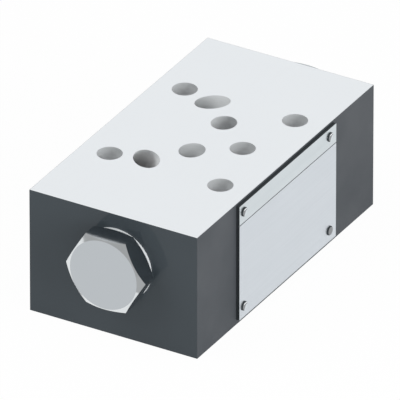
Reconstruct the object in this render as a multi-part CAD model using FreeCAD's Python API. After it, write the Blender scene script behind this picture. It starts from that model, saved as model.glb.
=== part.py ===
"""Sandwich plate valve: a double pilot-operated check valve for a 10 mm size valve stack.

The block is clamped between a subplate and a directional valve. Each actuator line, A and B, has a
seat sleeve with a check poppet. A control piston between the two poppets pushes open the one whose
line takes the return flow.

Frame, in millimetres: the origin is the centre of the bottom (subplate) face, +Z points up to the
directional valve, Y runs along the long bore with side A at -Y, and +X points to the nameplate side.
Inside the bore, places are distances from the block's middle plane, and are the same on both sides.
"""

import FreeCAD, Part
import math
import os

from FreeCAD import Vector

# Valve block
BLOCK_X = 69.5
BLOCK_Y = 128.0
BLOCK_Z = 50.0

# Four through holes for the mounting screws, centred on the block
SCREW_SPACING_X = 46.0
SCREW_SPACING_Y = 54.0
SCREW_HOLE_R = 4.75

# Long bore: its axis runs along Y
BORE_X = 1.6
BORE_Z = 30.0
PISTON_BORE_R = 8.0
PISTON_BORE_LENGTH = 21.0
CHAMBER_R = 9.0
CHAMBER_LENGTH = 12.0
MAIN_BORE_R = 11.0
THREAD_R = 12.0
THREAD_LENGTH = 14.0
THREAD_MOUTH_CHAMFER = 0.6

# Ports in the top face: places of their mouths, and how far each drilling leans from vertical
PORT_R = 4.75
P_X = 16.7
TOP_A_Y = -10.3
TOP_B_Y = 12.7
TOP_A_LEAN = 28.5
TOP_B_LEAN = 20.3
T_X = -9.5
T_Y = 23.8
T_LEAN = 45.0
T_PLAN_ANGLE = 45.0
TOP_DRILL_STOP = 3.0

# Ports in the bottom face, each with a recess for a seal ring
SUBPLATE_AB_Y = 10.3
SUBPLATE_AB_R = 4.0
SUBPLATE_AB_LEAN = 53.1
SUBPLATE_AB_REACH = 34.0
RECESS_R = 8.0
RECESS_DEPTH = 1.4
PORT_SEAL_INNER_R = 6.4
DRILL_POINT_ANGLE = 118.0

# Seat sleeves
SLEEVE_LENGTH = 8.0
SLEEVE_BORE_R = 6.5
SLEEVE_LEAD_CHAMFER = 0.4
SLEEVE_GROOVE_START = 1.2
SLEEVE_GROOVE_WIDTH = 2.0
SLEEVE_GROOVE_DEPTH = 1.6

# Check poppets: a 45 degree cone closes on the sleeve's edge
POPPET_CONE_ANGLE = 45.0
POPPET_TIP_LENGTH = 2.5
POPPET_LENGTH = 18.5
POPPET_STROKE = 5.0
POPPET_REAR_CHAMFER = 0.5
BLEED_HOLE_R = 0.8
TIP_HOLE_R = 2.0
TIP_HOLE_LENGTH = 2.0
SPRING_POCKET_R = 5.3
SPRING_POCKET_DEPTH = 10.0

# Pilot poppets: a stem whose cone closes the hole in a check poppet's tip, and a flange for the spring
PILOT_R = 3.0
PILOT_TIP_R = 1.0
PILOT_STEM_LENGTH = 7.5
PILOT_FLANGE_R = 5.1
PILOT_FLANGE_THICKNESS = 1.2
PILOT_SPIGOT_R = 3.2
PILOT_SPIGOT_LENGTH = 2.3
BLEED_HOLE_PLACE = 5.3

# Closing springs, coiled from flat wire
SPRING_OUTER_R = 4.9
SPRING_WIRE_WIDTH = 1.3
SPRING_WIRE_HEIGHT = 1.0
SPRING_LENGTH = 21.8
SPRING_COILS = 5
SPRING_STEPS_PER_COIL = 20

# Control piston: its nose pushes a check poppet, and the pin on it pushes the pilot poppet first
PISTON_BODY_LENGTH = 20.0
PISTON_EDGE_CHAMFER = 0.4
PISTON_GROOVES = 2
PISTON_GROOVE_WIDTH = 0.8
PISTON_GROOVE_DEPTH = 0.5
PISTON_GROOVE_PITCH = 5.0
NOSE_R = 4.5
NOSE_TO_POPPET = 3.0
PIN_R = 1.5
PIN_TO_PILOT = 1.5

# End plugs: hexagon head, threaded shank and a hollow nose that guides the poppet
HEX_ACROSS_FLATS = 28.5
HEX_PROTRUSION = 9.8
HEX_FRONT_FLAT_R = 13.8
HEX_FRONT_CHAMFER_ANGLE = 34.0
HEX_REAR_FLAT_R = 14.1
HEX_REAR_CHAMFER_ANGLE = 31.0
THREAD_RELIEF_LENGTH = 2.5
THREAD_RELIEF_DEPTH = 1.0
POPPET_END_SPACE = 1.0
PLUG_SPRING_BORE_R = 5.6
NOSE_LAND_LENGTH = 1.5
NOSE_GROOVE_LENGTH = 8.0
NOSE_GROOVE_DEPTH = 1.05
WINDOW_R = 3.4

# Metal sealing rings under the plug heads
SEAL_RING_R = 14.35
SEAL_RING_THICKNESS = 1.0

# Nameplate on the +X side, with a divided header, and its four pins
PLATE_LENGTH = 70.1
PLATE_HEIGHT = 47.0
PLATE_THICKNESS = 1.4
PLATE_CENTRE_Y = -1.0
PLATE_BOTTOM_Z = 2.15
HEADER_HEIGHT = 7.9
HEADER_LINE_WIDTH = 0.35
HEADER_LINE_DEPTH = 0.2
PIN_FRONT_INSET = 3.1
PIN_REAR_INSET = 4.8
PIN_TOP_INSET = 3.3
PIN_BOTTOM_INSET = 4.65
PIN_HEAD_R = 1.8
PIN_HEAD_HEIGHT = 0.6
PIN_HEAD_CHAMFER = 0.25
PIN_SHANK_R = 1.2
PIN_SHANK_LENGTH = 5.0

# Clearances
SLIDING_CLEARANCE = 0.03
FITTED_CLEARANCE = 0.03
THREAD_CLEARANCE = 0.08
SEAT_GAP = 0.1
CONTACT_GAP = 0.05
PILOT_BORE_CLEARANCE = 0.2
SEAL_RING_CLEARANCE = 0.15
PIN_HOLE_CLEARANCE = 0.05

# How far a cutting tool runs past the face that it enters through
RUN_OUT = 5.0

SIDES = {"a": -1, "b": 1}

# Places along the bore, measured outwards from the block's middle plane
CHAMBER_START = PISTON_BORE_LENGTH / 2
SLEEVE_START = CHAMBER_START + CHAMBER_LENGTH
SEAT = SLEEVE_START + SLEEVE_LENGTH
BLOCK_END = BLOCK_Y / 2
THREAD_START = BLOCK_END - THREAD_LENGTH
POPPET_TIP = SEAT - POPPET_TIP_LENGTH
POPPET_REAR = POPPET_TIP + POPPET_LENGTH
PILOT_SEAT = POPPET_TIP + TIP_HOLE_LENGTH
FLANGE_START = PILOT_SEAT + PILOT_STEM_LENGTH
FLANGE_REAR = FLANGE_START + PILOT_FLANGE_THICKNESS
SPRING_END = FLANGE_REAR + SPRING_LENGTH
CONE_SLOPE = math.tan(math.radians(POPPET_CONE_ANGLE))
PILOT_TIP = PILOT_SEAT + SEAT_GAP - (TIP_HOLE_R - PILOT_TIP_R) / CONE_SLOPE
GUIDE_END = POPPET_REAR + POPPET_STROKE + POPPET_END_SPACE
HEAD_START = BLOCK_END + SEAL_RING_THICKNESS
HEAD_END = BLOCK_END + HEX_PROTRUSION


def turned(profile, side=1):
    """A solid turned about the long bore's axis from (distance, radius) points, on one side."""
    points = [Vector(BORE_X + radius, place, BORE_Z) for place, radius in profile]
    face = Part.Face(Part.makePolygon(points + points[:1]))
    solid = face.revolve(Vector(BORE_X, 0, BORE_Z), Vector(0, 1, 0), 360)
    if side < 0:
        solid = solid.mirror(Vector(0, 0, 0), Vector(0, 1, 0))
    return solid


def ring(start, end, inner_r, outer_r, side=1):
    """A plain ring round the long bore's axis."""
    return turned([(start, inner_r), (start, outer_r), (end, outer_r), (end, inner_r)], side)


def unit(x, y, z):
    """A vector of length one along (x, y, z)."""
    vector = Vector(x, y, z)
    return vector.normalize()


def drilling(mouth, direction, radius, depth):
    """A pointed drill's path: it starts outside the mouth and runs to depth along direction."""
    start = mouth - direction * RUN_OUT
    path = Part.makeCylinder(radius, depth + RUN_OUT, start, direction)
    point_height = radius / math.tan(math.radians(DRILL_POINT_ANGLE / 2))
    tip = Part.makeCone(radius, 0, point_height, mouth + direction * depth, direction)
    return path.fuse(tip)


def leaning(lean, plan_x, plan_y, down):
    """The direction of a drilling that leans from vertical towards (plan_x, plan_y)."""
    plan = unit(plan_x, plan_y, 0)
    sideways = plan * math.sin(math.radians(lean))
    upright = Vector(0, 0, math.cos(math.radians(lean)))
    return sideways - upright if down else sideways + upright


def screw_hole_places():
    """Plan places of the four mounting screw holes."""
    return [
        (sx * SCREW_SPACING_X / 2, sy * SCREW_SPACING_Y / 2) for sx in (-1, 1) for sy in (-1, 1)
    ]


def subplate_port_places():
    """Plan places of the five ports in the bottom face."""
    return {
        "p": (P_X, 0),
        "a": (BORE_X, -SUBPLATE_AB_Y),
        "b": (BORE_X, SUBPLATE_AB_Y),
        "ta": (T_X, -T_Y),
        "tb": (T_X, T_Y),
    }


def bore_cuts():
    """The stepped long bore, the same from both ends."""
    half = [
        (0, 0),
        (0, PISTON_BORE_R),
        (CHAMBER_START, PISTON_BORE_R),
        (CHAMBER_START, CHAMBER_R),
        (SLEEVE_START, CHAMBER_R),
        (SLEEVE_START, MAIN_BORE_R),
        (THREAD_START, MAIN_BORE_R),
        (THREAD_START + THREAD_R - MAIN_BORE_R, THREAD_R),
        (BLOCK_END - THREAD_MOUTH_CHAMFER, THREAD_R),
        (BLOCK_END, THREAD_R + THREAD_MOUTH_CHAMFER),
        (BLOCK_END + RUN_OUT, THREAD_R + THREAD_MOUTH_CHAMFER),
        (BLOCK_END + RUN_OUT, 0),
    ]
    return [turned(half, side) for side in SIDES.values()]


def top_port_cuts():
    """P goes straight through. A and B lean outwards into the chambers beside the piston bore."""
    up = Vector(0, 0, 1)
    cuts = [Part.makeCylinder(PORT_R, BLOCK_Z + 2 * RUN_OUT, Vector(P_X, 0, -RUN_OUT), up)]
    for mouth_y, lean, side in ((TOP_A_Y, TOP_A_LEAN, -1), (TOP_B_Y, TOP_B_LEAN, 1)):
        depth = (BLOCK_Z - BORE_Z - TOP_DRILL_STOP) / math.cos(math.radians(lean))
        direction = leaning(lean, 0, side, down=True)
        cuts.append(drilling(Vector(BORE_X, mouth_y, BLOCK_Z), direction, PORT_R, depth))
    return cuts


def tank_cuts():
    """Each tank line is two leaning drillings that meet beside the long bore."""
    cuts = []
    fall = (BLOCK_Z - RECESS_DEPTH) / 2
    depth = fall / math.cos(math.radians(T_LEAN))
    plan_x = -math.cos(math.radians(T_PLAN_ANGLE))
    plan_y = math.sin(math.radians(T_PLAN_ANGLE))
    for side in SIDES.values():
        for mouth_z, down in ((BLOCK_Z, True), (RECESS_DEPTH, False)):
            direction = leaning(T_LEAN, plan_x, -side * plan_y, down)
            mouth = Vector(T_X, side * T_Y, mouth_z)
            cuts.append(drilling(mouth, direction, PORT_R, depth))
    return cuts


def subplate_line_cuts():
    """The lines from bottom ports A and B up to the room round each plug's nose."""
    lean = math.radians(SUBPLATE_AB_LEAN)
    depth = (SUBPLATE_AB_REACH - SUBPLATE_AB_Y) / math.sin(lean)
    cuts = []
    for side in SIDES.values():
        direction = leaning(SUBPLATE_AB_LEAN, 0, side, down=False)
        mouth = Vector(BORE_X, side * SUBPLATE_AB_Y, RECESS_DEPTH)
        tool = Part.makeCylinder(SUBPLATE_AB_R, depth + RUN_OUT, mouth - direction * RUN_OUT, direction)
        cuts.append(tool)
    return cuts


def pin_places():
    """(Y, Z) of the nameplate pins, numbered from the front lower corner."""
    front = PLATE_CENTRE_Y - PLATE_LENGTH / 2 + PIN_FRONT_INSET
    rear = PLATE_CENTRE_Y + PLATE_LENGTH / 2 - PIN_REAR_INSET
    low = PLATE_BOTTOM_Z + PIN_BOTTOM_INSET
    high = PLATE_BOTTOM_Z + PLATE_HEIGHT - PIN_TOP_INSET
    return [(y, z) for y in (front, rear) for z in (low, high)]


def pin_hole(place, start_x, length):
    """The hole that a nameplate pin's shank goes into, along -X."""
    y, z = place
    return Part.makeCylinder(
        PIN_SHANK_R + PIN_HOLE_CLEARANCE, length, Vector(start_x, y, z), Vector(-1, 0, 0)
    )


def valve_block():
    """The drilled steel block."""
    block = Part.makeBox(BLOCK_X, BLOCK_Y, BLOCK_Z, Vector(-BLOCK_X / 2, -BLOCK_Y / 2, 0))
    up = Vector(0, 0, 1)
    cuts = bore_cuts() + top_port_cuts() + tank_cuts() + subplate_line_cuts()
    for x, y in screw_hole_places():
        cuts.append(Part.makeCylinder(SCREW_HOLE_R, BLOCK_Z + 2 * RUN_OUT, Vector(x, y, -RUN_OUT), up))
    for x, y in subplate_port_places().values():
        cuts.append(Part.makeCylinder(RECESS_R, RECESS_DEPTH + RUN_OUT, Vector(x, y, -RUN_OUT), up))
    for place in pin_places():
        cuts.append(pin_hole(place, BLOCK_X / 2 + RUN_OUT, PIN_SHANK_LENGTH + RUN_OUT))
    return block.cut(cuts)


def port_seal(place):
    """A seal ring of rectangular section, pressed flush into its recess in the bottom face."""
    x, y = place
    outer_r = RECESS_R - FITTED_CLEARANCE
    up = Vector(0, 0, 1)
    base = Vector(x, y, 0)
    disc = Part.makeCylinder(outer_r, RECESS_DEPTH, base, up)
    return disc.cut(Part.makeCylinder(PORT_SEAL_INNER_R, RECESS_DEPTH, base, up))


def seat_sleeve(side):
    """A ring with the seat edge at its outer end and a groove for its own seal ring."""
    outer_r = MAIN_BORE_R - FITTED_CLEARANCE
    groove_r = outer_r - SLEEVE_GROOVE_DEPTH
    groove_start = SLEEVE_START + SLEEVE_GROOVE_START
    groove_end = groove_start + SLEEVE_GROOVE_WIDTH
    profile = [
        (SLEEVE_START, SLEEVE_BORE_R),
        (SLEEVE_START, outer_r - SLEEVE_LEAD_CHAMFER),
        (SLEEVE_START + SLEEVE_LEAD_CHAMFER, outer_r),
        (groove_start, outer_r),
        (groove_start, groove_r),
        (groove_end, groove_r),
        (groove_end, outer_r),
        (SEAT, outer_r),
        (SEAT, SLEEVE_BORE_R),
    ]
    return turned(profile, side)


def sleeve_seal(side):
    """The seal ring in a seat sleeve's groove."""
    start = SLEEVE_START + SLEEVE_GROOVE_START + CONTACT_GAP
    end = start + SLEEVE_GROOVE_WIDTH - 2 * CONTACT_GAP
    inner_r = MAIN_BORE_R - FITTED_CLEARANCE - SLEEVE_GROOVE_DEPTH
    return ring(start, end, inner_r, MAIN_BORE_R, side)


def check_poppet(side):
    """A hollow poppet: cone and tip hole in front, pilot bore and spring pocket behind."""
    body_r = PISTON_BORE_R - SLIDING_CLEARANCE
    tip_r = SLEEVE_BORE_R - (POPPET_TIP_LENGTH + SEAT_GAP) * CONE_SLOPE
    cone_end = SEAT + SEAT_GAP + (body_r - SLEEVE_BORE_R) / CONE_SLOPE
    pilot_bore_r = PILOT_R + PILOT_BORE_CLEARANCE
    pocket_start = POPPET_REAR - SPRING_POCKET_DEPTH
    profile = [
        (POPPET_TIP, TIP_HOLE_R),
        (POPPET_TIP, tip_r),
        (cone_end, body_r),
        (POPPET_REAR - POPPET_REAR_CHAMFER, body_r),
        (POPPET_REAR, body_r - POPPET_REAR_CHAMFER),
        (POPPET_REAR, SPRING_POCKET_R),
        (pocket_start, SPRING_POCKET_R),
        (pocket_start, pilot_bore_r),
        (PILOT_SEAT, pilot_bore_r),
        (PILOT_SEAT, TIP_HOLE_R),
    ]
    poppet = turned(profile, side)
    bleed_y = side * (PILOT_SEAT + BLEED_HOLE_PLACE)
    bleed_start = Vector(BORE_X - body_r - RUN_OUT, bleed_y, BORE_Z)
    length = 2 * (body_r + RUN_OUT)
    return poppet.cut(Part.makeCylinder(BLEED_HOLE_R, length, bleed_start, Vector(1, 0, 0)))


def pilot_poppet(side):
    """The small poppet inside a check poppet: cone, stem, flange and a spigot that centres the spring."""
    profile = [
        (PILOT_TIP, 0),
        (PILOT_TIP, PILOT_TIP_R),
        (PILOT_TIP + (PILOT_R - PILOT_TIP_R) / CONE_SLOPE, PILOT_R),
        (FLANGE_START, PILOT_R),
        (FLANGE_START, PILOT_FLANGE_R),
        (FLANGE_REAR, PILOT_FLANGE_R),
        (FLANGE_REAR, PILOT_SPIGOT_R),
        (FLANGE_REAR + PILOT_SPIGOT_LENGTH, PILOT_SPIGOT_R),
        (FLANGE_REAR + PILOT_SPIGOT_LENGTH, 0),
    ]
    return turned(profile, side)


def wire_corners(turns, travel):
    """The four corners of the spring wire's section after some turns, starting at the low inner one."""
    angle = 2 * math.pi * turns
    corners = []
    for inner, rear in ((1, 0), (0, 0), (0, 1), (1, 1)):
        radius = SPRING_OUTER_R - inner * SPRING_WIRE_WIDTH
        x = BORE_X + radius * math.cos(angle)
        z = BORE_Z + radius * math.sin(angle)
        corners.append(Vector(x, travel + rear * SPRING_WIRE_HEIGHT, z))
    return corners


def closing_spring(side):
    """A coil of flat wire in short straight steps, from the pilot's flange to the plug's spring bore."""
    start = FLANGE_REAR + CONTACT_GAP
    rise = SPRING_LENGTH - 2 * CONTACT_GAP - SPRING_WIRE_HEIGHT
    steps = SPRING_COILS * SPRING_STEPS_PER_COIL
    sections = []
    for index in range(steps + 1):
        sections.append(wire_corners(index / SPRING_STEPS_PER_COIL, start + rise * index / steps))
    outlines = [sections[0], sections[-1]]
    for here, after in zip(sections, sections[1:]):
        for first, second in ((0, 1), (1, 2), (2, 3), (3, 0)):
            outlines.append([here[first], here[second], after[second]])
            outlines.append([here[first], after[second], after[first]])
    faces = [Part.Face(Part.makePolygon(outline + outline[:1])) for outline in outlines]
    shell = Part.Compound(faces)
    shell.sewShape()
    spring = Part.Solid(shell.Shells[0])
    if spring.Volume < 0:
        spring.reverse()
    if side < 0:
        spring = spring.mirror(Vector(0, 0, 0), Vector(0, 1, 0))
    return spring


def control_piston():
    """The piston between the poppets, the same at both ends."""
    body_r = PISTON_BORE_R - SLIDING_CLEARANCE
    body_end = PISTON_BODY_LENGTH / 2
    nose_end = POPPET_TIP - NOSE_TO_POPPET
    pin_end = PILOT_TIP - PIN_TO_PILOT
    half = [
        (body_end - PISTON_EDGE_CHAMFER, body_r),
        (body_end, body_r - PISTON_EDGE_CHAMFER),
        (body_end, NOSE_R),
        (nose_end, NOSE_R),
        (nose_end, PIN_R),
        (pin_end, PIN_R),
        (pin_end, 0),
    ]
    piston = turned([(-place, radius) for place, radius in reversed(half)] + half)
    for index in range(PISTON_GROOVES):
        middle = (index - (PISTON_GROOVES - 1) / 2) * PISTON_GROOVE_PITCH
        start = middle - PISTON_GROOVE_WIDTH / 2
        end = middle + PISTON_GROOVE_WIDTH / 2
        piston = piston.cut(ring(start, end, body_r - PISTON_GROOVE_DEPTH, body_r + RUN_OUT))
    return piston


def plug_shank():
    """The turned part of an end plug, on the b side: hollow nose, thread and relief."""
    nose_r = MAIN_BORE_R - FITTED_CLEARANCE
    groove_r = nose_r - NOSE_GROOVE_DEPTH
    thread_r = THREAD_R - THREAD_CLEARANCE
    relief_r = thread_r - THREAD_RELIEF_DEPTH
    groove_start = SEAT + NOSE_LAND_LENGTH
    groove_end = groove_start + NOSE_GROOVE_LENGTH
    thread_begin = THREAD_START + THREAD_R - MAIN_BORE_R
    relief_start = HEAD_START - THREAD_RELIEF_LENGTH
    profile = [
        (SEAT, PISTON_BORE_R),
        (SEAT, nose_r),
        (groove_start, nose_r),
        (groove_start, groove_r),
        (groove_end, groove_r),
        (groove_end, nose_r),
        (thread_begin, nose_r),
        (thread_begin, thread_r),
        (relief_start, thread_r),
        (relief_start, relief_r),
        (HEAD_START, relief_r),
        (HEAD_START, 0),
        (SPRING_END, 0),
        (SPRING_END, PLUG_SPRING_BORE_R),
        (GUIDE_END, PLUG_SPRING_BORE_R),
        (GUIDE_END, PISTON_BORE_R),
    ]
    return turned(profile)


def plug_head():
    """The hexagon head, with flats up and down, chamfered in front and behind."""
    corner_r = HEX_ACROSS_FLATS / math.sqrt(3)
    corners = []
    for index in range(6):
        angle = math.radians(60 * index)
        x = BORE_X + corner_r * math.cos(angle)
        z = BORE_Z + corner_r * math.sin(angle)
        corners.append(Vector(x, HEAD_START, z))
    face = Part.Face(Part.makePolygon(corners + corners[:1]))
    hexagon = face.extrude(Vector(0, HEAD_END - HEAD_START, 0))
    full_r = corner_r + RUN_OUT
    front_fall = (full_r - HEX_FRONT_FLAT_R) * math.tan(math.radians(HEX_FRONT_CHAMFER_ANGLE))
    rear_rise = (full_r - HEX_REAR_FLAT_R) * math.tan(math.radians(HEX_REAR_CHAMFER_ANGLE))
    front_cone = turned(
        [
            (HEAD_START - RUN_OUT, 0),
            (HEAD_START - RUN_OUT, full_r),
            (HEAD_END - front_fall, full_r),
            (HEAD_END, HEX_FRONT_FLAT_R),
            (HEAD_END, 0),
        ]
    )
    rear_cone = turned(
        [
            (HEAD_START, 0),
            (HEAD_START, HEX_REAR_FLAT_R),
            (HEAD_START + rear_rise, full_r),
            (HEAD_END + RUN_OUT, full_r),
            (HEAD_END + RUN_OUT, 0),
        ]
    )
    return hexagon.common(front_cone).common(rear_cone)


def end_plug(side):
    """One end plug, with an upper and a lower window in the groove of its nose."""
    plug = plug_shank().fuse(plug_head())
    place = SEAT + NOSE_LAND_LENGTH + NOSE_GROOVE_LENGTH / 2
    reach = MAIN_BORE_R + RUN_OUT
    start = Vector(BORE_X, place, BORE_Z - reach)
    plug = plug.cut(Part.makeCylinder(WINDOW_R, 2 * reach, start, Vector(0, 0, 1)))
    if side < 0:
        plug = plug.mirror(Vector(0, 0, 0), Vector(0, 1, 0))
    return plug


def plug_seal_ring(side):
    """The flat metal ring between the block's end face and a plug's head."""
    return ring(BLOCK_END, HEAD_START, THREAD_R + SEAL_RING_CLEARANCE, SEAL_RING_R, side)


def nameplate():
    """The plate on the +X side, with a shallow line under its header and four pin holes."""
    face_x = BLOCK_X / 2 + PLATE_THICKNESS
    front_y = PLATE_CENTRE_Y - PLATE_LENGTH / 2
    plate = Part.makeBox(
        PLATE_THICKNESS, PLATE_LENGTH, PLATE_HEIGHT, Vector(BLOCK_X / 2, front_y, PLATE_BOTTOM_Z)
    )
    line_z = PLATE_BOTTOM_Z + PLATE_HEIGHT - HEADER_HEIGHT
    line = Part.makeBox(
        HEADER_LINE_DEPTH + RUN_OUT,
        PLATE_LENGTH + 2 * RUN_OUT,
        HEADER_LINE_WIDTH,
        Vector(face_x - HEADER_LINE_DEPTH, front_y - RUN_OUT, line_z - HEADER_LINE_WIDTH / 2),
    )
    holes = [pin_hole(place, face_x + RUN_OUT, 2 * RUN_OUT + PLATE_THICKNESS) for place in pin_places()]
    return plate.cut([line] + holes)


def nameplate_pin(place):
    """A drive pin: a low chamfered head on the plate and a shank that ends in the block."""
    y, z = place
    seat_x = BLOCK_X / 2 + PLATE_THICKNESS
    tip_x = BLOCK_X / 2 - PIN_SHANK_LENGTH
    top_x = seat_x + PIN_HEAD_HEIGHT
    outline = [
        (tip_x, 0),
        (tip_x, PIN_SHANK_R),
        (seat_x, PIN_SHANK_R),
        (seat_x, PIN_HEAD_R),
        (top_x - PIN_HEAD_CHAMFER, PIN_HEAD_R),
        (top_x, PIN_HEAD_R - PIN_HEAD_CHAMFER),
        (top_x, 0),
    ]
    points = [Vector(x, y + radius, z) for x, radius in outline]
    face = Part.Face(Part.makePolygon(points + points[:1]))
    return face.revolve(Vector(0, y, z), Vector(1, 0, 0), 360)


def all_nodes():
    """Every piece of the valve by its name."""
    nodes = {"valve_block": valve_block(), "control_piston": control_piston()}
    for letter, side in SIDES.items():
        nodes["end_plug_" + letter] = end_plug(side)
        nodes["plug_seal_ring_" + letter] = plug_seal_ring(side)
        nodes["seat_sleeve_" + letter] = seat_sleeve(side)
        nodes["seat_sleeve_seal_" + letter] = sleeve_seal(side)
        nodes["check_poppet_" + letter] = check_poppet(side)
        nodes["pilot_poppet_" + letter] = pilot_poppet(side)
        nodes["closing_spring_" + letter] = closing_spring(side)
    for name, place in subplate_port_places().items():
        nodes["port_seal_" + name] = port_seal(place)
    nodes["nameplate"] = nameplate()
    for number, place in enumerate(pin_places(), start=1):
        nodes["nameplate_pin_" + str(number)] = nameplate_pin(place)
    return nodes


def main():
    """Writes one STEP file for each piece."""
    os.makedirs("parts", exist_ok=True)
    for name, shape in all_nodes().items():
        shape.exportStep("parts/" + name + ".step")
        print(name, shape.ShapeType, len(shape.Solids), round(shape.Volume, 2), shape.isValid())


main()
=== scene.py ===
"""Looks of a hydraulic sandwich valve: coated steel block, bright end plugs, nameplate and inner parts.

Lengths are metres in the valve's own frame: the origin is the centre of the bottom face, +Z is up, Y runs
along the long bore, and +X is the nameplate side.
"""

from __future__ import annotations

import logging
import math
from dataclasses import dataclass
from enum import Enum

import bmesh
import bpy
from mathutils import Matrix, Vector


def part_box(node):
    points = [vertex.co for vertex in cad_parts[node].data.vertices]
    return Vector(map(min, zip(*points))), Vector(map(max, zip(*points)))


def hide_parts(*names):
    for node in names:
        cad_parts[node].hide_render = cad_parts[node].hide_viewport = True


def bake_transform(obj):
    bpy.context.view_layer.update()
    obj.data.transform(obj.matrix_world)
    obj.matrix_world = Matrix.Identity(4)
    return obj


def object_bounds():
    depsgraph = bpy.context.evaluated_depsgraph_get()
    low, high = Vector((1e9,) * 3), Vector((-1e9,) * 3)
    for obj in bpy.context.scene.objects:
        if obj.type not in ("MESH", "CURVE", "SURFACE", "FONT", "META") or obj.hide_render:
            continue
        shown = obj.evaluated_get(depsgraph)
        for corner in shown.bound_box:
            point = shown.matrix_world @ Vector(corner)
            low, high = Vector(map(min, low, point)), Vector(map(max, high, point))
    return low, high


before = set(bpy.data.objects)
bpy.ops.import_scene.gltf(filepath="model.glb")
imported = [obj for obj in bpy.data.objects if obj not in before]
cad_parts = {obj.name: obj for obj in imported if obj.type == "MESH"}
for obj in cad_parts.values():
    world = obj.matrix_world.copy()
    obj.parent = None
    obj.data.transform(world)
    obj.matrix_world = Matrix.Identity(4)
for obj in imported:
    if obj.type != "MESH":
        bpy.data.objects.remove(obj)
CAD_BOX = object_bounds()

LOG = logging.getLogger("sandwich_valve")
MM = 0.001

TOP_FACE = CAD_BOX[1][2]

Point = tuple[float, float, float]
Colour = tuple[float, float, float]
Tone = Colour | bpy.types.NodeSocket
BLACK: Colour = (0.0, 0.0, 0.0)
WHITE: Colour = (1.0, 1.0, 1.0)


class Axis(Enum):
    """A direction of the valve's frame, by its place in a vector."""

    X = 0
    Y = 1
    Z = 2


class Value:
    """One shader number: operators on it add Math nodes to its tree."""

    def __init__(self, bench: Bench, socket: bpy.types.NodeSocket) -> None:
        """Wraps a socket of a tree that bench builds."""
        self.bench = bench
        self.socket = socket

    def _math(self, operation: str, first: Value | float, second: Value | float = 0.0) -> Value:
        """Adds one Math node.

        Args:
            operation: the node's operation.
            first: its first value.
            second: its second value.

        Returns:
            The node's result.
        """
        node = self.bench.node("ShaderNodeMath", {"operation": operation}, {0: first, 1: second})
        return Value(self.bench, node.outputs[0])

    def __add__(self, other: Value | float) -> Value:
        """The sum."""
        return self._math("ADD", self, other)

    __radd__ = __add__

    def __sub__(self, other: Value | float) -> Value:
        """The difference."""
        return self._math("SUBTRACT", self, other)

    def __rsub__(self, other: Value | float) -> Value:
        """The difference, from a number."""
        return self._math("SUBTRACT", other, self)

    def __mul__(self, other: Value | float) -> Value:
        """The product."""
        return self._math("MULTIPLY", self, other)

    __rmul__ = __mul__

    def __truediv__(self, other: Value | float) -> Value:
        """The quotient."""
        return self._math("DIVIDE", self, other)

    def __gt__(self, other: Value | float) -> Value:
        """One where this value is the larger."""
        return self._math("GREATER_THAN", self, other)

    def __lt__(self, other: Value | float) -> Value:
        """One where this value is the smaller."""
        return self._math("LESS_THAN", self, other)

    def absolute(self) -> Value:
        """The value without its sign."""
        return self._math("ABSOLUTE", self)

    def wave(self) -> Value:
        """The sine, moved into the range from 0 to 1."""
        return self._math("SINE", self) * 0.5 + 0.5

    def both(self, other: Value) -> Value:
        """The smaller of two masks: where both hold."""
        return self._math("MINIMUM", self, other)

    def either(self, other: Value) -> Value:
        """The larger of two masks: where one holds."""
        return self._math("MAXIMUM", self, other)

    def spread(self, low: float, high: float, out_low: float, out_high: float) -> Value:
        """Maps the range low to high onto out_low to out_high, clamped.

        Args:
            low: value that maps to out_low.
            high: value that maps to out_high.
            out_low: result at low.
            out_high: result at high.

        Returns:
            The mapped value.
        """
        numbers = {0: self, 1: low, 2: high, 3: out_low, 4: out_high}
        node = self.bench.node("ShaderNodeMapRange", {"clamp": True}, numbers)
        return Value(self.bench, node.outputs[0])


@dataclass(frozen=True)
class Grain:
    """How fine a noise is, and how many finer layers it has."""

    scale: float
    detail: float = 3.0


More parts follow.
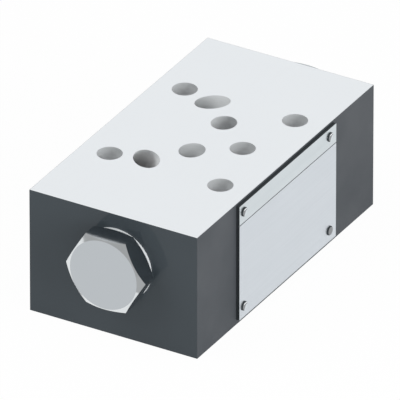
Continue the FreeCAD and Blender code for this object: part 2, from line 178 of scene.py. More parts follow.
class Bench:
    """Builds one node tree."""

    def __init__(self, tree: bpy.types.NodeTree) -> None:
        """Takes a tree and empties it."""
        self.tree = tree
        self.tree.nodes.clear()

    def node(self, kind: str, settings: dict[str, object], inputs: dict[int | str, object]) -> bpy.types.Node:
        """Adds any node.

        Args:
            kind: the node's type.
            settings: its properties, set first.
            inputs: socket name or number to a value, a socket or a Value.

        Returns:
            The node.
        """
        node = self.tree.nodes.new(kind)
        for name, value in settings.items():
            setattr(node, name, value)
        for key, value in inputs.items():
            if isinstance(value, Value):
                self.tree.links.new(value.socket, node.inputs[key])
            elif isinstance(value, bpy.types.NodeSocket):
                self.tree.links.new(value, node.inputs[key])
            else:
                node.inputs[key].default_value = value
        return node

    def place(self) -> bpy.types.NodeSocket:
        """The surface point in the object's own coordinates, which are the valve's frame."""
        return self.node("ShaderNodeTexCoord", {}, {}).outputs["Object"]

    def split(self, vector: bpy.types.NodeSocket) -> list[Value]:
        """A vector's three numbers."""
        node = self.node("ShaderNodeSeparateXYZ", {}, {0: vector})
        return [Value(self, out) for out in node.outputs]

    def facing(self) -> list[Value]:
        """The surface's own normal as three numbers, in the object's coordinates."""
        normal = self.node("ShaderNodeTexCoord", {}, {}).outputs["Normal"]
        return self.split(normal)

    def stretched(self, vector: bpy.types.NodeSocket, scale: Point) -> bpy.types.NodeSocket:
        """A vector times scale, number by number."""
        node = self.node("ShaderNodeVectorMath", {"operation": "MULTIPLY"}, {0: vector, 1: scale})
        return node.outputs[0]

    def noise(self, vector: bpy.types.NodeSocket, grain: Grain) -> Value:
        """Adds a noise.

        Args:
            vector: where it is read.
            grain: how fine it is.

        Returns:
            The noise, from 0 to 1.
        """
        inputs = {"Vector": vector, "Scale": grain.scale, "Detail": grain.detail}
        node = self.node("ShaderNodeTexNoise", {"noise_dimensions": "3D"}, inputs)
        return Value(self, node.outputs[0])

    def mixed(self, factor: Value, low: Tone, high: Tone) -> bpy.types.NodeSocket:
        """A colour between low and high.

        Args:
            factor: 0 for low and 1 for high.
            low: a colour, or the socket that gives it.
            high: a colour, or the socket that gives it.

        Returns:
            The mixed colour's socket.
        """
        node = self.node("ShaderNodeMix", {"data_type": "RGBA"}, {0: factor})
        for key, colour in ((6, low), (7, high)):
            if isinstance(colour, bpy.types.NodeSocket):
                self.tree.links.new(colour, node.inputs[key])
            else:
                node.inputs[key].default_value = (*colour, 1.0)
        return node.outputs[2]

    def bump(self, height: Value, depth: float) -> bpy.types.NodeSocket:
        """A normal bent by a height, where depth is the height of one unit in metres."""
        inputs = {"Height": height, "Distance": depth, "Strength": 1.0}
        return self.node("ShaderNodeBump", {}, inputs).outputs[0]

    def plain_rays(self) -> Value:
        """One for the camera's rays and for those in mirrors and glass, and zero for rays that light things.

        Returns:
            The mask.
        """
        rays = self.node("ShaderNodeLightPath", {}, {})
        camera = Value(self, rays.outputs["Is Camera Ray"])
        glossy = Value(self, rays.outputs["Is Glossy Ray"])
        clear = Value(self, rays.outputs["Is Transmission Ray"])
        return camera.either(glossy).either(clear)


class MaterialBench(Bench):
    """Builds one material round its Principled shader."""

    def __init__(self, name: str) -> None:
        """Makes the material with nothing but its shader.

        Args:
            name: the material's name.
        """
        self.material = bpy.data.materials.new(name)
        self.material.use_nodes = True
        super().__init__(self.material.node_tree)
        self.output = self.node("ShaderNodeOutputMaterial", {}, {})
        self.shader = self.node("ShaderNodeBsdfPrincipled", {}, {})
        self.show(self.shader.outputs[0])

    def show(self, shader: bpy.types.NodeSocket) -> None:
        """Puts a shader on the surface."""
        self.tree.links.new(shader, self.output.inputs["Surface"])

    def constant(self, **values: object) -> None:
        """Sets values straight on the shader: names are its inputs, with _ for a space."""
        for name, value in values.items():
            self.shader.inputs[name.replace("_", " ")].default_value = value

    def link(self, name: str, source: Value | bpy.types.NodeSocket) -> None:
        """Links a Value or a socket to the shader's input called name."""
        socket = source.socket if isinstance(source, Value) else source
        self.tree.links.new(socket, self.shader.inputs[name])


class Lay(Enum):
    """How a metal finish's tool marks run: the noise's fineness along X, Y and Z."""

    ALONG_Y = (420.0, 9.0, 420.0)
    EVEN = (180.0, 180.0, 180.0)
    ROUND_Z = (30.0, 30.0, 900.0)


def darker(colour: Colour, share: float) -> Colour:
    """A colour with a share of it taken away."""
    return tuple(part * (1 - share) for part in colour)


def uneven(mask: Value, level: float, swing: float, span: tuple[float, float] = (0.3, 0.7)) -> Value:
    """A level that a noise makes a little smaller or larger.

    Args:
        mask: the noise.
        level: the level in the middle.
        swing: how far it goes each way, as a share of the level.
        span: the part of the noise's range that it follows.

    Returns:
        The level.
    """
    return mask.spread(*span, level * (1 - swing), level * (1 + swing))


@dataclass(frozen=True)
class Line:
    """A straight line in the valve's frame, in metres."""

    centre: Point
    direction: Point

    def distance(self, bench: Bench, place: bpy.types.NodeSocket) -> Value:
        """How far a surface point is from the line.

        Args:
            bench: the material's bench.
            place: the surface point.

        Returns:
            The distance in metres.
        """
        offset = bench.node("ShaderNodeVectorMath", {"operation": "SUBTRACT"}, {0: place, 1: self.centre})
        cross = bench.node(
            "ShaderNodeVectorMath", {"operation": "CROSS_PRODUCT"}, {0: offset.outputs[0], 1: self.direction}
        )
        length = bench.node("ShaderNodeVectorMath", {"operation": "LENGTH"}, {0: cross.outputs[0]})
        return Value(bench, length.outputs["Value"])


BORE_LINE = Line((1.6 * MM, 0.0, 30.0 * MM), (0.0, 1.0, 0.0))


@dataclass(frozen=True)
class Metal:
    """Bare metal with fine marks that run one way."""

    name: str
    colour: Colour
    roughness: float
    lay: Lay
    metallic: float = 1.0
    mark_grain: Grain = Grain(4.0)
    cloud_grain: Grain = Grain(60.0, 2.0)
    mark_depth: float = 2.0e-6
    tone_swing: float = 0.05
    roughness_swing: float = 0.12

    def build(self) -> bpy.types.Material:
        """Makes the material.

        Returns:
            The material.
        """
        bench = MaterialBench(self.name)
        place = bench.place()
        marks = bench.noise(bench.stretched(place, self.lay.value), self.mark_grain)
        cloud = bench.noise(place, self.cloud_grain)
        dark = darker(self.colour, self.tone_swing)
        bench.link("Base Color", bench.mixed((marks + cloud) / 2, dark, self.colour))
        bench.link("Roughness", uneven(marks, self.roughness, self.roughness_swing))
        bench.link("Normal", bench.bump(marks, self.mark_depth))
        bench.constant(Metallic=self.metallic)
        return bench.material


@dataclass(frozen=True)
class Thread:
    """A fine screw thread on a turned shank, as far as end from the block's middle plane."""

    radius: float
    pitch: float
    depth: float
    end: float
    reach: float = 0.05 * MM

    def height(self, radius: Value, along: Value) -> Value:
        """How far the thread rises, from 0 to 1, where a point lies on the shank.

        Args:
            radius: the point's distance from the shank's axis.
            along: its place on the axis.

        Returns:
            The height, 0 away from the shank.
        """
        on_shank = ((radius - self.radius).absolute() < self.reach).both(along.absolute() < self.end)
        return on_shank * (along * (math.tau / self.pitch)).wave()


@dataclass(frozen=True)
class TurnedMetal:
    """Bare metal with the fine rings that a lathe leaves round the long bore's line, and at will a painted
    highlight on its cone faces.
    """

    name: str
    colour: Colour
    roughness: float
    line: Line = BORE_LINE
    axis: Axis = Axis.Y
    feed: float = 0.22 * MM
    wander_grain: Grain = Grain(90.0, 2.0)
    wander_turns: float = 0.6
    cloud_grain: Grain = Grain(70.0)
    cloud_share: float = 0.6
    mark_depth: float = 1.2e-6
    tone_swing: float = 0.04
    roughness_swing: float = 0.15
    face_slope: float = 0.7
    cone_slopes: tuple[float, float] = (0.6, 0.97)
    # painted highlight: a lighter colour for cone faces, for the light they catch
    cone_painted_highlight: Colour | None = None
    metallic: float = 1.0
    thread: Thread | None = None

    def marks(self, bench: Bench, place: bpy.types.NodeSocket) -> Value:
        """Draws the rings: across a face by radius, and along a turned side by its place on the axis.

        Args:
            bench: the material's bench.
            place: the surface point.

        Returns:
            The rings' height, from 0 to 1.
        """
        radius = self.line.distance(bench, place)
        along = bench.split(place)[self.axis.value]
        on_face = bench.facing()[self.axis.value].absolute() > self.face_slope
        travel = on_face * radius + (1 - on_face) * along
        wander = bench.noise(place, self.wander_grain) * self.wander_turns
        return ((travel / self.feed + wander) * math.tau).wave()

    def build(self) -> bpy.types.Material:
        """Makes the material.

        Returns:
            The material.
        """
        bench = MaterialBench(self.name)
        place = bench.place()
        marks = self.marks(bench, place)
        cloud = bench.noise(place, self.cloud_grain)
        light = marks * (1 - self.cloud_share) + cloud * self.cloud_share
        tone = bench.mixed(light, darker(self.colour, self.tone_swing), self.colour)
        # painted highlight on the cone faces, such as chamfers
        if self.cone_painted_highlight is not None:
            slope = bench.facing()[self.axis.value].absolute()
            low, high = self.cone_slopes
            tone = bench.mixed((slope > low).both(slope < high), tone, self.cone_painted_highlight)
        bench.link("Base Color", tone)
        bench.link("Roughness", uneven(cloud, self.roughness, self.roughness_swing))
        height = marks * self.mark_depth
        if self.thread is not None:
            along = bench.split(place)[self.axis.value]
            rise = self.thread.height(self.line.distance(bench, place), along)
            height = height + rise * self.thread.depth
        bench.link("Normal", bench.bump(height, 1.0))
        bench.constant(Metallic=self.metallic)
        return bench.material


@dataclass(frozen=True)
class Drilling:
    """A leaning drilling from the top face, with painted light and shade on its walls from the mouth down.

    Its middle line leans from vertical by lean degrees, and seen from above it rises towards turn degrees,
    counted from +X to +Y.
    """

    mouth: tuple[float, float]
    lean: float
    turn: float
    mouth_painted_shading: Colour
    deep_painted_shading: Colour

    def line(self) -> Line:
        """Works out the middle line.

        Returns:
            The line, through the middle of the mouth.
        """
        lean = math.radians(self.lean)
        turn = math.radians(self.turn)
        direction = (math.sin(lean) * math.cos(turn), math.sin(lean) * math.sin(turn), math.cos(lean))
        return Line((*self.mouth, TOP_FACE), direction)


@dataclass(frozen=True)
class BlockFinish:
    """The block's steel: a dark glossy coat on its four sides with painted light on the two X sides, ground
    port faces, and bare drillings with painted light and shade on their walls.
    """

    name: str
    half: Point
    coat_colour: Colour
    # painted light: a warmer, slightly lighter coat colour for the two X sides, for how the light falls on
    # them
    side_coat_painted_light_colour: Colour
    ground_colour: Colour
    # painted light and shade on the hole walls: these two colours and each drilling's own run from the mouth
    # down
    mouth_painted_shading: Colour
    deep_bore_painted_shading: Colour
    end_roughness: float
    side_roughness: float
    ground_roughness: float
    bore_roughness: float
    bore_metallic: float
    drillings: tuple[Drilling, ...]
    drilling_reach: float
    painted_shading_depths: tuple[float, float] = (1.0 * MM, 7.0 * MM)
    coat_specular: float = 0.19
    skin: float = 0.05 * MM
    ground_grain: Grain = Grain(3.0)
    cloud_grain: Grain = Grain(35.0, 4.0)
    ring_grain: Grain = Grain(2.0)
    ring_shade: float = 0.14
    cloud_shade: float = 0.12
    ground_swing: float = 0.03
    coat_roughness_swing: float = 0.15
    coat_roughness_span: tuple[float, float] = (0.35, 0.65)
    bare_roughness_swing: float = 0.06
    mark_depth: float = 1.5e-6

    def bare_walls(
        self, bench: Bench, place: bpy.types.NodeSocket, depth: Value, rings: Value
    ) -> bpy.types.NodeSocket:
        """Paints light and shade on the walls of holes and bores, lighter deeper down and lighter or darker
        in each leaning drilling, and darkens them a little along the drill's marks.

        Args:
            bench: the material's bench.
            place: the surface point.
            depth: how far it is below the top face.
            rings: the drill's marks.

        Returns:
            The colour.
        """
        # painted light and shade on the walls: lighter deeper down, and each drilling lighter or darker on
        # its own
        deep = depth.spread(*self.painted_shading_depths, 0.0, 1.0)
        bore = bench.mixed(deep, self.mouth_painted_shading, self.deep_bore_painted_shading)
        for drilling in self.drillings:
            inside = drilling.line().distance(bench, place) < self.drilling_reach
            wall = bench.mixed(deep, drilling.mouth_painted_shading, drilling.deep_painted_shading)
            bore = bench.mixed(inside, bore, wall)
        return bench.mixed(rings * self.ring_shade, bore, BLACK)

    def build(self) -> bpy.types.Material:
        """Makes the material.

        Returns:
            The material.
        """
        bench = MaterialBench(self.name)
        place = bench.place()
        x, y, z = bench.split(place)
        side = x.absolute() > self.half[0] - self.skin
        coated = side.either(y.absolute() > self.half[1] - self.skin)
        ground = ((z - self.half[2]).absolute() > self.half[2] - self.skin) * (1 - coated)
        grain = bench.noise(bench.stretched(place, Lay.ALONG_Y.value), self.ground_grain)
        cloud = bench.noise(place, self.cloud_grain)
        rings = bench.noise(bench.stretched(place, Lay.ROUND_Z.value), self.ring_grain)
        bore = self.bare_walls(bench, place, 2 * self.half[2] - z, rings)
        dark_ground = darker(self.ground_colour, self.ground_swing)
        face = bench.mixed((grain + cloud) / 2, dark_ground, self.ground_colour)
        # painted light: the X sides take their own warmer, slightly lighter coat colour
        coat = bench.mixed(side, self.coat_colour, self.side_coat_painted_light_colour)
        coat = bench.mixed(cloud * self.cloud_shade, coat, BLACK)
        bench.link("Base Color", bench.mixed(coated, bench.mixed(ground, bore, face), coat))
        bench.link("Metallic", (1 - coated) * (ground * (1 - self.bore_metallic) + self.bore_metallic))
        coat_rough = side * (self.side_roughness - self.end_roughness) + self.end_roughness
        coat_rough = coat_rough * uneven(cloud, 1.0, self.coat_roughness_swing, self.coat_roughness_span)
        bare_rough = ground * (self.ground_roughness - self.bore_roughness) + self.bore_roughness
        bare_rough = bare_rough + (grain - 0.5) * self.bare_roughness_swing
        bench.link("Roughness", coated * coat_rough + (1 - coated) * bare_rough)
        height = (1 - coated) * (ground * grain + (1 - ground) * rings)
        bench.link("Normal", bench.bump(height, self.mark_depth))
        bench.constant(Specular_IOR_Level=self.coat_specular)
        return bench.material


@dataclass(frozen=True)
class PlateFinish:
    """The nameplate: satin metal, a lighter header from header_start up, and dark cut edges."""

    name: str
    face_colour: Colour
    header_colour: Colour
    edge_colour: Colour
    header_start: float
    face_roughness: float = 0.34
    edge_roughness: float = 0.5
    roughness_swing: float = 0.15
    face_metallic: float = 0.85
    specular: float = 0.12
    front_slope: float = 0.5
    brush_grain: Grain = Grain(3.0)
    cloud_grain: Grain = Grain(45.0)
    brush_shade: float = 0.035
    cloud_shade: float = 0.05
    brush_depth: float = 0.8e-6

    def build(self) -> bpy.types.Material:
        """Makes the material.

        Returns:
            The material.
        """
        bench = MaterialBench(self.name)
        place = bench.place()
        height = bench.split(place)[Axis.Z.value]
        front = bench.facing()[Axis.X.value] > self.front_slope
        brushed = bench.noise(bench.stretched(place, Lay.ALONG_Y.value), self.brush_grain)
        cloud = bench.noise(place, self.cloud_grain)
        header = height > self.header_start
        tone = bench.mixed(header, self.face_colour, self.header_colour)
        wear = brushed * self.brush_shade + cloud * self.cloud_shade
        worn = bench.mixed(wear, tone, self.edge_colour)
        bench.link("Base Color", bench.mixed(front, self.edge_colour, worn))
        bench.link("Metallic", front * self.face_metallic)
        rough = uneven(brushed, self.face_roughness, self.roughness_swing)
        bench.link("Roughness", front * rough + (1 - front) * self.edge_roughness)
        bench.link("Normal", bench.bump(brushed * front, self.brush_depth))
        bench.constant(Specular_IOR_Level=self.specular)
        return bench.material


@dataclass(frozen=True)
class PinFinish:
    """A drive pin: dark sides and a grey face, on which a domed head's light can be painted: a painted
    highlight line, a painted shade line and a painted reflection over one side.

    Places on the face are metres from its centre: along the plate, then up. The painted reflection lies on
    the side that its direction points to.
    """

    name: str
    centre: Point
    face_colour: Colour
    side_colour: Colour
    painted_highlight_colour: Colour
    painted_reflection_colour: Colour
    painted_dome_light: bool
    # painted light of a domed head: a highlight line, a shade line and a reflection over one side
    painted_highlight_band: tuple[float, float] = (0.78 * MM, 1.2 * MM)
    painted_highlight_start: float = -0.8 * MM
    painted_shade_band: tuple[float, float] = (0.48 * MM, 0.78 * MM)
    painted_shade_start: float = -0.1 * MM
    painted_reflection_edge: float = 0.2 * MM
    painted_reflection_direction: tuple[float, float] = (0.83, -0.558)
    front_slope: float = 0.9
    face_metallic: float = 0.85
    face_roughness: float = 0.3
    side_roughness: float = 0.55
    specular: float = 0.12
    cloud_grain: Grain = Grain(600.0)
    cloud_shade: float = 0.2
    cloud_depth: float = 2.0e-6

    def painted_dome_tone(
        self, bench: Bench, plain: bpy.types.NodeSocket, along: Value, up: Value
    ) -> bpy.types.NodeSocket:
        """The face's colour with a domed head's light painted on.

        Args:
            bench: the material's bench.
            plain: the colour before it.
            along: place along the plate.
            up: place upwards.

        Returns:
            The colour with the painted reflection, the painted shade line and the painted highlight line.
        """
        # painted reflection over one side, then a painted shade line and a painted highlight line, as a domed
        # head would catch them
        across = along * self.painted_reflection_direction[0] + up * self.painted_reflection_direction[1]
        tone = bench.mixed(across > self.painted_reflection_edge, plain, self.painted_reflection_colour)
        shade_low, shade_high = self.painted_shade_band
        dark = (up > shade_low).both(up < shade_high).both(along > self.painted_shade_start)
        tone = bench.mixed(dark, tone, self.side_colour)
        highlight_low, highlight_high = self.painted_highlight_band
        bright = (up > highlight_low).both(up < highlight_high).both(along > self.painted_highlight_start)
        return bench.mixed(bright, tone, self.painted_highlight_colour)

    def build(self) -> bpy.types.Material:
        """Makes the material.

        Returns:
            The material.
        """
        bench = MaterialBench(self.name)
        place = bench.place()
        front = bench.facing()[Axis.X.value] > self.front_slope
        parts = bench.split(place)
        cloud = bench.noise(place, self.cloud_grain)
        face = bench.mixed(cloud, darker(self.face_colour, self.cloud_shade), self.face_colour)
        # painted highlight, shade and reflection of a domed head on the flat face
        if self.painted_dome_light:
            along = parts[Axis.Y.value] - self.centre[Axis.Y.value]
            up = parts[Axis.Z.value] - self.centre[Axis.Z.value]
            face = self.painted_dome_tone(bench, face, along, up)
        bench.link("Base Color", bench.mixed(front, self.side_colour, face))
        bench.link("Metallic", front * self.face_metallic)
        bench.link("Roughness", front * self.face_roughness + (1 - front) * self.side_roughness)
        bench.link("Normal", bench.bump(cloud * front, self.cloud_depth))
        bench.constant(Specular_IOR_Level=self.specular)
        return bench.material


@dataclass(frozen=True)
class Rubber:
    """Black oil-proof rubber with a faint bloom."""

    name: str
    colour: Colour = (0.018, 0.018, 0.019)
    bloom: Colour = (0.045, 0.045, 0.047)
    bloom_span: tuple[float, float] = (0.45, 0.75)
    roughness: tuple[float, float] = (0.42, 0.62)
    roughness_span: tuple[float, float] = (0.3, 0.7)
    specular: float = 0.35
    cloud_grain: Grain = Grain(160.0, 4.0)
    fine_grain: Grain = Grain(2600.0, 2.0)
    fine_depth: float = 4.0e-6

    def build(self) -> bpy.types.Material:
        """Makes the material.

        Returns:
            The material.
        """
        bench = MaterialBench(self.name)
        place = bench.place()
        cloud = bench.noise(place, self.cloud_grain)
        fine = bench.noise(place, self.fine_grain)
        bloomed = cloud.spread(*self.bloom_span, 0.0, 1.0)
        bench.link("Base Color", bench.mixed(bloomed, self.colour, self.bloom))
        bench.link("Roughness", cloud.spread(*self.roughness_span, *self.roughness))
        bench.link("Normal", bench.bump(fine, self.fine_depth))
        bench.constant(Specular_IOR_Level=self.specular)
        return bench.material


@dataclass(frozen=True)
class FloorFinish:
    """A white floor that camera and mirror rays see as the plain background, with the object's shadow."""

    name: str = "studio_floor"
    colour: Colour = (0.93, 0.93, 0.93)
    background_share: float = 0.97

    def build(self) -> bpy.types.Material:
        """Makes the material.

        Returns:
            The material.
        """
        bench = MaterialBench(self.name)
        bench.constant(Base_Color=(*self.colour, 1.0), Roughness=1.0, Specular_IOR_Level=0.0)
        glow = bench.node("ShaderNodeEmission", {}, {"Color": (*WHITE, 1.0), "Strength": 1.0})
        seen = bench.plain_rays() * self.background_share
        inputs = {0: seen, 1: bench.shader.outputs[0], 2: glow.outputs[0]}
        bench.show(bench.node("ShaderNodeMixShader", {}, inputs).outputs[0])
        return bench.material


def dress(node: str, material: bpy.types.Material) -> None:
    """Gives a CAD node its finish and reports it.

    Args:
        node: the node's name.
        material: its finish.
    """
    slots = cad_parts[node].material_slots
    for material_slot in slots:
        material_slot.material = material
    LOG.info("dressed %s with %s", node, material.name)


SIDES = ("a", "b")


@dataclass
class ValveBlock:
    """The drilled block."""

    node: str = "valve_block"
    coat_colour: Colour = (0.054, 0.067, 0.077)
    # painted light: the X sides' coat is warmer and slightly lighter than the ends' coat, for how the light
    # falls on them
    side_coat_painted_light_colour: Colour = (0.061, 0.0675, 0.0755)
    ground_colour: Colour = (0.80, 0.83, 0.855)
    # The wall colours from here on, also in each drilling, are painted light and shade: lighter deeper in the
    # holes, and lighter or darker per drilling.
    mouth_painted_shading: Colour = (0.60, 0.62, 0.63)
    deep_bore_painted_shading: Colour = (0.97, 0.98, 0.99)
    tank_a: Drilling = Drilling(
        mouth=(-9.5 * MM, -23.8 * MM),
        lean=45.0,
        turn=-45.0,
        mouth_painted_shading=(0.86, 0.88, 0.89),
        deep_painted_shading=(1.0, 1.0, 1.0),
    )
    tank_b: Drilling = Drilling(
        mouth=(-9.5 * MM, 23.8 * MM),
        lean=45.0,
        turn=45.0,
        mouth_painted_shading=(0.64, 0.66, 0.67),
        deep_painted_shading=(0.64, 0.66, 0.67),
    )
    line_a: Drilling = Drilling(
        mouth=(1.6 * MM, -10.3 * MM),
        lean=28.5,
        turn=90.0,
        mouth_painted_shading=(0.54, 0.56, 0.57),
        deep_painted_shading=(0.72, 0.74, 0.75),
    )
    line_b: Drilling = Drilling(
        mouth=(1.6 * MM, 12.7 * MM),
        lean=20.3,
        turn=-90.0,
        mouth_painted_shading=(0.66, 0.68, 0.69),
        deep_painted_shading=(0.98, 0.99, 1.0),
    )
    drilling_reach: float = 4.85 * MM
    end_roughness: float = 0.09
    side_roughness: float = 0.6
    ground_roughness: float = 0.3
    bore_roughness: float = 0.6
    bore_metallic: float = 0.2

    def dress(self) -> None:
        """Gives the block its coat with painted light on the X sides, its ground faces, and its bare bores
        with painted light and shade on their walls.
        """
        low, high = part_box(self.node)
        half = tuple((high - low) / 2)
        finish = BlockFinish(
            name="block_steel",
            half=half,
            coat_colour=self.coat_colour,
            side_coat_painted_light_colour=self.side_coat_painted_light_colour,
            ground_colour=self.ground_colour,
            mouth_painted_shading=self.mouth_painted_shading,
            deep_bore_painted_shading=self.deep_bore_painted_shading,
            end_roughness=self.end_roughness,
            side_roughness=self.side_roughness,
            ground_roughness=self.ground_roughness,
            bore_roughness=self.bore_roughness,
            bore_metallic=self.bore_metallic,
            drillings=(self.tank_a, self.tank_b, self.line_a, self.line_b),
            drilling_reach=self.drilling_reach,
        )
        dress(self.node, finish.build())


@dataclass
class EndPlugs:
    """Both end plugs and the metal rings under their heads."""

    plug_colour: Colour = (0.50, 0.53, 0.555)
    # painted highlight: the chamfers are lighter than the plug's faces, for the light they catch
    chamfer_painted_highlight: Colour = (0.72, 0.75, 0.765)
    ring_colour: Colour = (0.93, 0.96, 0.98)
    plug_roughness: float = 0.11
    ring_roughness: float = 0.45
    ring_metallic: float = 0.2
    thread_radius: float = 11.92 * MM
    thread_pitch: float = 1.5 * MM
    thread_depth: float = 0.4 * MM

    def dress(self) -> None:
        """Gives plugs and rings their turned finish, with a painted highlight on the plugs' chamfers."""
        block_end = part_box("valve_block")[1].y
        thread = Thread(self.thread_radius, self.thread_pitch, self.thread_depth, block_end)
        plug = TurnedMetal(
            name="plug_steel",
            colour=self.plug_colour,
            roughness=self.plug_roughness,
            cone_painted_highlight=self.chamfer_painted_highlight,
            thread=thread,
        ).build()
        ring = TurnedMetal(
            name="seal_ring_zinc",
            colour=self.ring_colour,
            roughness=self.ring_roughness,
            metallic=self.ring_metallic,
        ).build()
        for side in SIDES:
            dress("end_plug_" + side, plug)
            dress("plug_seal_ring_" + side, ring)


@dataclass
class CheckCartridges:
    """On each side: seat sleeve with its seal ring, check poppet and pilot poppet."""

    hard_colour: Colour = (0.52, 0.53, 0.54)
    hard_roughness: float = 0.2
    pilot_colour: Colour = (0.60, 0.61, 0.62)
    pilot_roughness: float = 0.16

    def dress(self) -> None:
        """Gives the inner parts of both sides their finishes."""
        hard = TurnedMetal("hardened_steel", self.hard_colour, self.hard_roughness).build()
        pilot = TurnedMetal("pilot_steel", self.pilot_colour, self.pilot_roughness).build()
        rubber = Rubber("sleeve_seal_rubber").build()
        for side in SIDES:
            dress("seat_sleeve_" + side, hard)
            dress("check_poppet_" + side, hard)
            dress("pilot_poppet_" + side, pilot)
            dress("seat_sleeve_seal_" + side, rubber)


@dataclass
class ClosingSprings:
    """Both springs, coiled from flat wire with rounded corners.

    A spring is two pieces that meet on its wire.
    """

    outer_radius: float = 4.9 * MM
    wire_width: float = 1.3 * MM
    wire_height: float = 1.0 * MM
    wire_edge: float = 0.22 * MM
    coils: float = 5.0
    front_coils: float = 1.25
    steps_per_coil: int = 48
    sharp_angle: float = math.radians(40.0)
    colour: Colour = (0.33, 0.34, 0.355)
    roughness: float = 0.3

    def section(self) -> list[tuple[float, float]]:
        """Draws the wire's outline, with each corner cut.

        Returns:
            Each corner's radius and its height above the wire's front face.
        """
        inner = self.outer_radius - self.wire_width
        outer = self.outer_radius
        edge = self.wire_edge
        top = self.wire_height
        return [
            (inner, edge),
            (inner + edge, 0.0),
            (outer - edge, 0.0),
            (outer, edge),
            (outer, top - edge),
            (outer - edge, top),
            (inner + edge, top),
            (inner, top - edge),
        ]

    def coil_piece(
        self, name: str, turn_range: tuple[float, float], front: float, rise: float, side: int
    ) -> bpy.types.Object:
        """Makes the wire between two places along it.

        Args:
            name: the piece's name.
            turn_range: where it starts and ends, in turns from the spring's front end.
            front: the spring's front face, measured from the block's middle plane.
            rise: how far one turn climbs.
            side: -1 for side a and 1 for side b, which is its mirror image.

        Returns:
            The piece.
        """
        shape = bmesh.new()
        centre = BORE_LINE.centre
        first, last = turn_range
        steps = round((last - first) * self.steps_per_coil)
        rings = []
        for step in range(steps + 1):
            turns = first + (last - first) * step / steps
            angle = math.tau * turns
            ring = []
            for radius, height in self.section():
                x = centre[0] + radius * math.cos(angle)
                y = side * (front + rise * turns + height)
                z = centre[2] + radius * math.sin(angle)
                ring.append(shape.verts.new((x, y, z)))
            rings.append(ring)
        for here, after in zip(rings, rings[1:]):
            for index, corner in enumerate(here):
                shape.faces.new((corner, here[index - 1], after[index - 1], after[index]))
        shape.faces.new(rings[0])
        shape.faces.new(rings[-1][::-1])
        bmesh.ops.recalc_face_normals(shape, faces=shape.faces)
        mesh = bpy.data.meshes.new(name)
        shape.to_mesh(mesh)
        shape.free()
        mesh.shade_smooth()
        mesh.set_sharp_from_angle(angle=self.sharp_angle)
        piece = bpy.data.objects.new(name, mesh)
        bpy.context.scene.collection.objects.link(piece)
        return piece

    def build(self, letter: str, material: bpy.types.Material) -> None:
        """Makes one side's spring in the place of its CAD node.

        Args:
            letter: the side.
            material: its finish.
        """
        node = "closing_spring_" + letter
        low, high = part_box(node)
        side = 1 if high.y + low.y > 0 else -1
        front = min(abs(low.y), abs(high.y))
        rear = max(abs(low.y), abs(high.y))
        rise = (rear - front - self.wire_height) / self.coils
        cut = front + rise * self.front_coils
        rear_start = cut + self.wire_height
        pilot = "pilot_" + letter
        poppet = "poppet_" + letter
        halves = (
            ("_front", (0.0, self.front_coils), pilot, poppet, front, cut),
            ("_rear", (self.front_coils, self.coils), poppet, "housing", rear_start, rear),
        )
        for suffix, turn_range, moving, holding, start, end in halves:
            piece = self.coil_piece(node + suffix, turn_range, front, rise, side)
            piece.data.materials.append(material)
            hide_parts(node)
            side * start
            side * end
            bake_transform(piece)
            LOG.info("built %s", piece.name)

    def dress(self) -> None:
        """Makes the springs of both sides."""
        material = Metal("spring_steel", self.colour, self.roughness, Lay.EVEN).build()
        for letter in SIDES:
            self.build(letter, material)


@dataclass
class ControlPiston:
    """The piston between the two check poppets."""

    node: str = "control_piston"
    colour: Colour = (0.62, 0.63, 0.645)
    roughness: float = 0.14
    feed: float = 0.12 * MM

    def dress(self) -> None:
        """Gives the piston a fine ground finish."""
        finish = TurnedMetal("piston_steel", self.colour, self.roughness, feed=self.feed)
        dress(self.node, finish.build())


@dataclass
class PortSeals:
    """The five seal rings in the bottom face."""

    ports: tuple[str, ...] = ("p", "a", "b", "ta", "tb")

    def dress(self) -> None:
        """Gives the rings their rubber."""
        rubber = Rubber("port_seal_rubber").build()
        for port in self.ports:
            dress("port_seal_" + port, rubber)


@dataclass
class Nameplate:
    """The bare nameplate and its four drive pins."""

    node: str = "nameplate"
    header_height: float = 7.9 * MM
    face_colour: Colour = (0.625, 0.665, 0.705)
    header_colour: Colour = (0.625, 0.675, 0.70)
    edge_colour: Colour = (0.034, 0.040, 0.044)
    pin_colour: Colour = (0.27, 0.28, 0.29)
    # The pins' bright colour is a painted highlight. The pins flagged below get a domed head's light painted
    # on their flat faces: a highlight line, a shade line and a reflection.
    painted_highlight_colour: Colour = (0.90, 0.93, 0.95)
    painted_dome_light: tuple[bool, ...] = (True, True, False, True)

    def dress(self) -> None:
        """Gives plate and pins their finishes."""
        plate = PlateFinish(
            name="nameplate_aluminium",
            face_colour=self.face_colour,
            header_colour=self.header_colour,
            edge_colour=self.edge_colour,
            header_start=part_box(self.node)[1].z - self.header_height,
        )
        dress(self.node, plate.build())
        for number, painted_dome_light in enumerate(self.painted_dome_light, start=1):
            node = "nameplate_pin_" + str(number)
            low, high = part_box(node)
            pin = PinFinish(
                name="pin_steel_" + str(number),
                centre=tuple((low + high) / 2),
                face_colour=self.pin_colour,
                side_colour=self.edge_colour,
                painted_highlight_colour=self.painted_highlight_colour,
                painted_reflection_colour=self.header_colour,
                painted_dome_light=painted_dome_light,
            )
            dress(node, pin.build())


@dataclass
class Lamp:
    """A soft square lamp aimed at the middle of the valve."""

    name: str
    place: Point
    size: float
    power: float

    def build(self, aim: Vector) -> None:
        """Makes the lamp.

        Args:
            aim: the point it shines at.
        """
        data = bpy.data.lights.new(self.name, "AREA")
        data.shape = "SQUARE"
        data.size = self.size
        data.energy = self.power
        lamp = bpy.data.objects.new(self.name, data)
        bpy.context.scene.collection.objects.link(lamp)
        lamp.visible_glossy = False
        lamp.location = self.place
        lamp.rotation_euler = (aim - lamp.location).to_track_quat("-Z", "Y").to_euler()


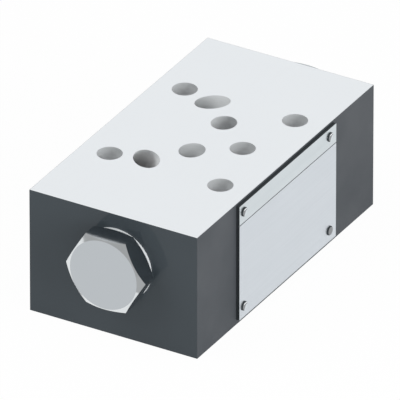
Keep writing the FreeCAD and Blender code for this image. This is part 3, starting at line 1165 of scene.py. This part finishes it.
@dataclass
class Studio:
    """White floor, soft light and the camera."""

    azimuth: float = math.radians(30.0)
    elevation: float = math.radians(30.0)
    lens: float = 1500.0
    sensor: float = 36.0
    view_width: float = 144.53 * MM
    shift_right: float = -0.90 * MM
    shift_up: float = -1.11 * MM
    floor_half: float = 6.0
    floor_drop: float = 0.02 * MM
    floor_steps: int = 4
    lamp_aim: Point = (0.0, 0.0, 25.0 * MM)
    clip_shares: tuple[float, float] = (0.1, 4.0)
    sky_strength: float = 0.5
    card_y: float = -0.165
    standing_card_left: float = -0.2
    standing_card_shoulder: float = 0.035
    lying_card_left: tuple[float, float] = (0.022, 0.034)
    lying_card_near: float = -0.07
    card_right: float = 0.13
    card_height: float = 0.115
    card_floor: float = 0.5 * MM
    standing_card_level: float = 0.46
    lying_card_level: float = 0.5
    lamps: tuple[Lamp, ...] = (
        Lamp("key_lamp", (-0.65, -0.55, 0.8), 0.8, 5.0),
        Lamp("fill_lamp", (0.95, -0.25, 0.3), 0.6, 8.0),
    )

    def build_floor(self) -> None:
        """Makes the floor under the valve."""
        mesh = bpy.data.meshes.new("studio_floor")
        shape = bmesh.new()
        steps = self.floor_steps
        bmesh.ops.create_grid(shape, x_segments=steps, y_segments=steps, size=self.floor_half)
        shape.to_mesh(mesh)
        shape.free()
        floor = bpy.data.objects.new("studio_floor", mesh)
        bpy.context.scene.collection.objects.link(floor)
        floor.location.z = CAD_BOX[0][2] - self.floor_drop
        mesh.materials.append(FloorFinish().build())
        LOG.info("built the floor")

    def build_card(self, name: str, corners: list[Point], level: float) -> None:
        """Makes a grey card that only mirror rays see, so that bright metal has a dark side.

        Args:
            name: the card's name.
            corners: its four corners in order.
            level: how bright it is, where 1 is white.
        """
        mesh = bpy.data.meshes.new(name)
        mesh.from_pydata(corners, [], [(0, 1, 2, 3)])
        card = bpy.data.objects.new(name, mesh)
        bpy.context.scene.collection.objects.link(card)
        card.visible_camera = False
        card.visible_diffuse = False
        card.visible_transmission = False
        card.visible_shadow = False
        bench = MaterialBench(name)
        grey = (level, level, level, 1.0)
        bench.show(bench.node("ShaderNodeEmission", {}, {"Color": grey, "Strength": 1.0}).outputs[0])
        mesh.materials.append(bench.material)
        LOG.info("built %s", name)

    def build_cards(self) -> None:
        """Makes two cards near the front plug, one standing and one on the floor."""
        floor = self.card_floor
        standing = [
            (self.standing_card_left, self.card_y, floor),
            (self.card_right, self.card_y, floor),
            (self.standing_card_shoulder, self.card_y, self.card_height),
            (self.standing_card_left, self.card_y, self.card_height),
        ]
        self.build_card("standing_card", standing, self.standing_card_level)
        far_left, near_left = self.lying_card_left
        lying = [
            (far_left, self.card_y, floor),
            (self.card_right, self.card_y, floor),
            (self.card_right, self.lying_card_near, floor),
            (near_left, self.lying_card_near, floor),
        ]
        self.build_card("lying_card", lying, self.lying_card_level)

    def build_sky(self) -> None:
        """Makes a white world, a little softer where it lights the object than where it is seen."""
        world = bpy.data.worlds.new("studio_sky")
        bpy.context.scene.world = world
        world.use_nodes = True
        bench = Bench(world.node_tree)
        strength = bench.plain_rays().spread(0.0, 1.0, self.sky_strength, 1.0)
        shine = bench.node("ShaderNodeBackground", {}, {"Color": (*WHITE, 1.0), "Strength": strength})
        bench.node("ShaderNodeOutputWorld", {}, {"Surface": shine.outputs[0]})
        LOG.info("built the sky")

    def build_camera(self) -> None:
        """Makes the camera: very far away, because the photograph is a parallel projection."""
        across = Vector((math.cos(self.azimuth), math.sin(self.azimuth), 0.0))
        level = Vector((math.sin(self.azimuth), -math.cos(self.azimuth), 0.0))
        back = level * math.cos(self.elevation) + Vector((0.0, 0.0, math.sin(self.elevation)))
        upward = back.cross(across)
        low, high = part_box("valve_block")
        aim = (low + high) / 2 + across * self.shift_right + upward * self.shift_up
        data = bpy.data.cameras.new("photo_camera")
        data.lens = self.lens
        data.sensor_width = self.sensor
        distance = self.lens * self.view_width / self.sensor
        data.clip_start = distance * self.clip_shares[0]
        data.clip_end = distance * self.clip_shares[1]
        camera = bpy.data.objects.new("photo_camera", data)
        bpy.context.scene.collection.objects.link(camera)
        turn = Matrix((across, upward, back)).transposed().to_4x4()
        camera.matrix_world = Matrix.Translation(aim + back * distance) @ turn
        bpy.context.scene.camera = camera
        LOG.info("built the camera")

    def build(self) -> None:
        """Makes the whole studio."""
        self.build_floor()
        self.build_cards()
        self.build_sky()
        for lamp in self.lamps:
            lamp.build(Vector(self.lamp_aim))
        self.build_camera()
        bpy.context.scene.view_settings.view_transform = "Standard"


def main() -> None:
    """Builds and dresses every sub-assembly in order."""
    logging.basicConfig(level=logging.INFO, format="%(name)s: %(message)s")
    Studio().build()
    for assembly in (
        ValveBlock(),
        EndPlugs(),
        CheckCartridges(),
        ClosingSprings(),
        ControlPiston(),
        PortSeals(),
        Nameplate(),
    ):
        assembly.dress()


if __name__ == "__main__":
    main()
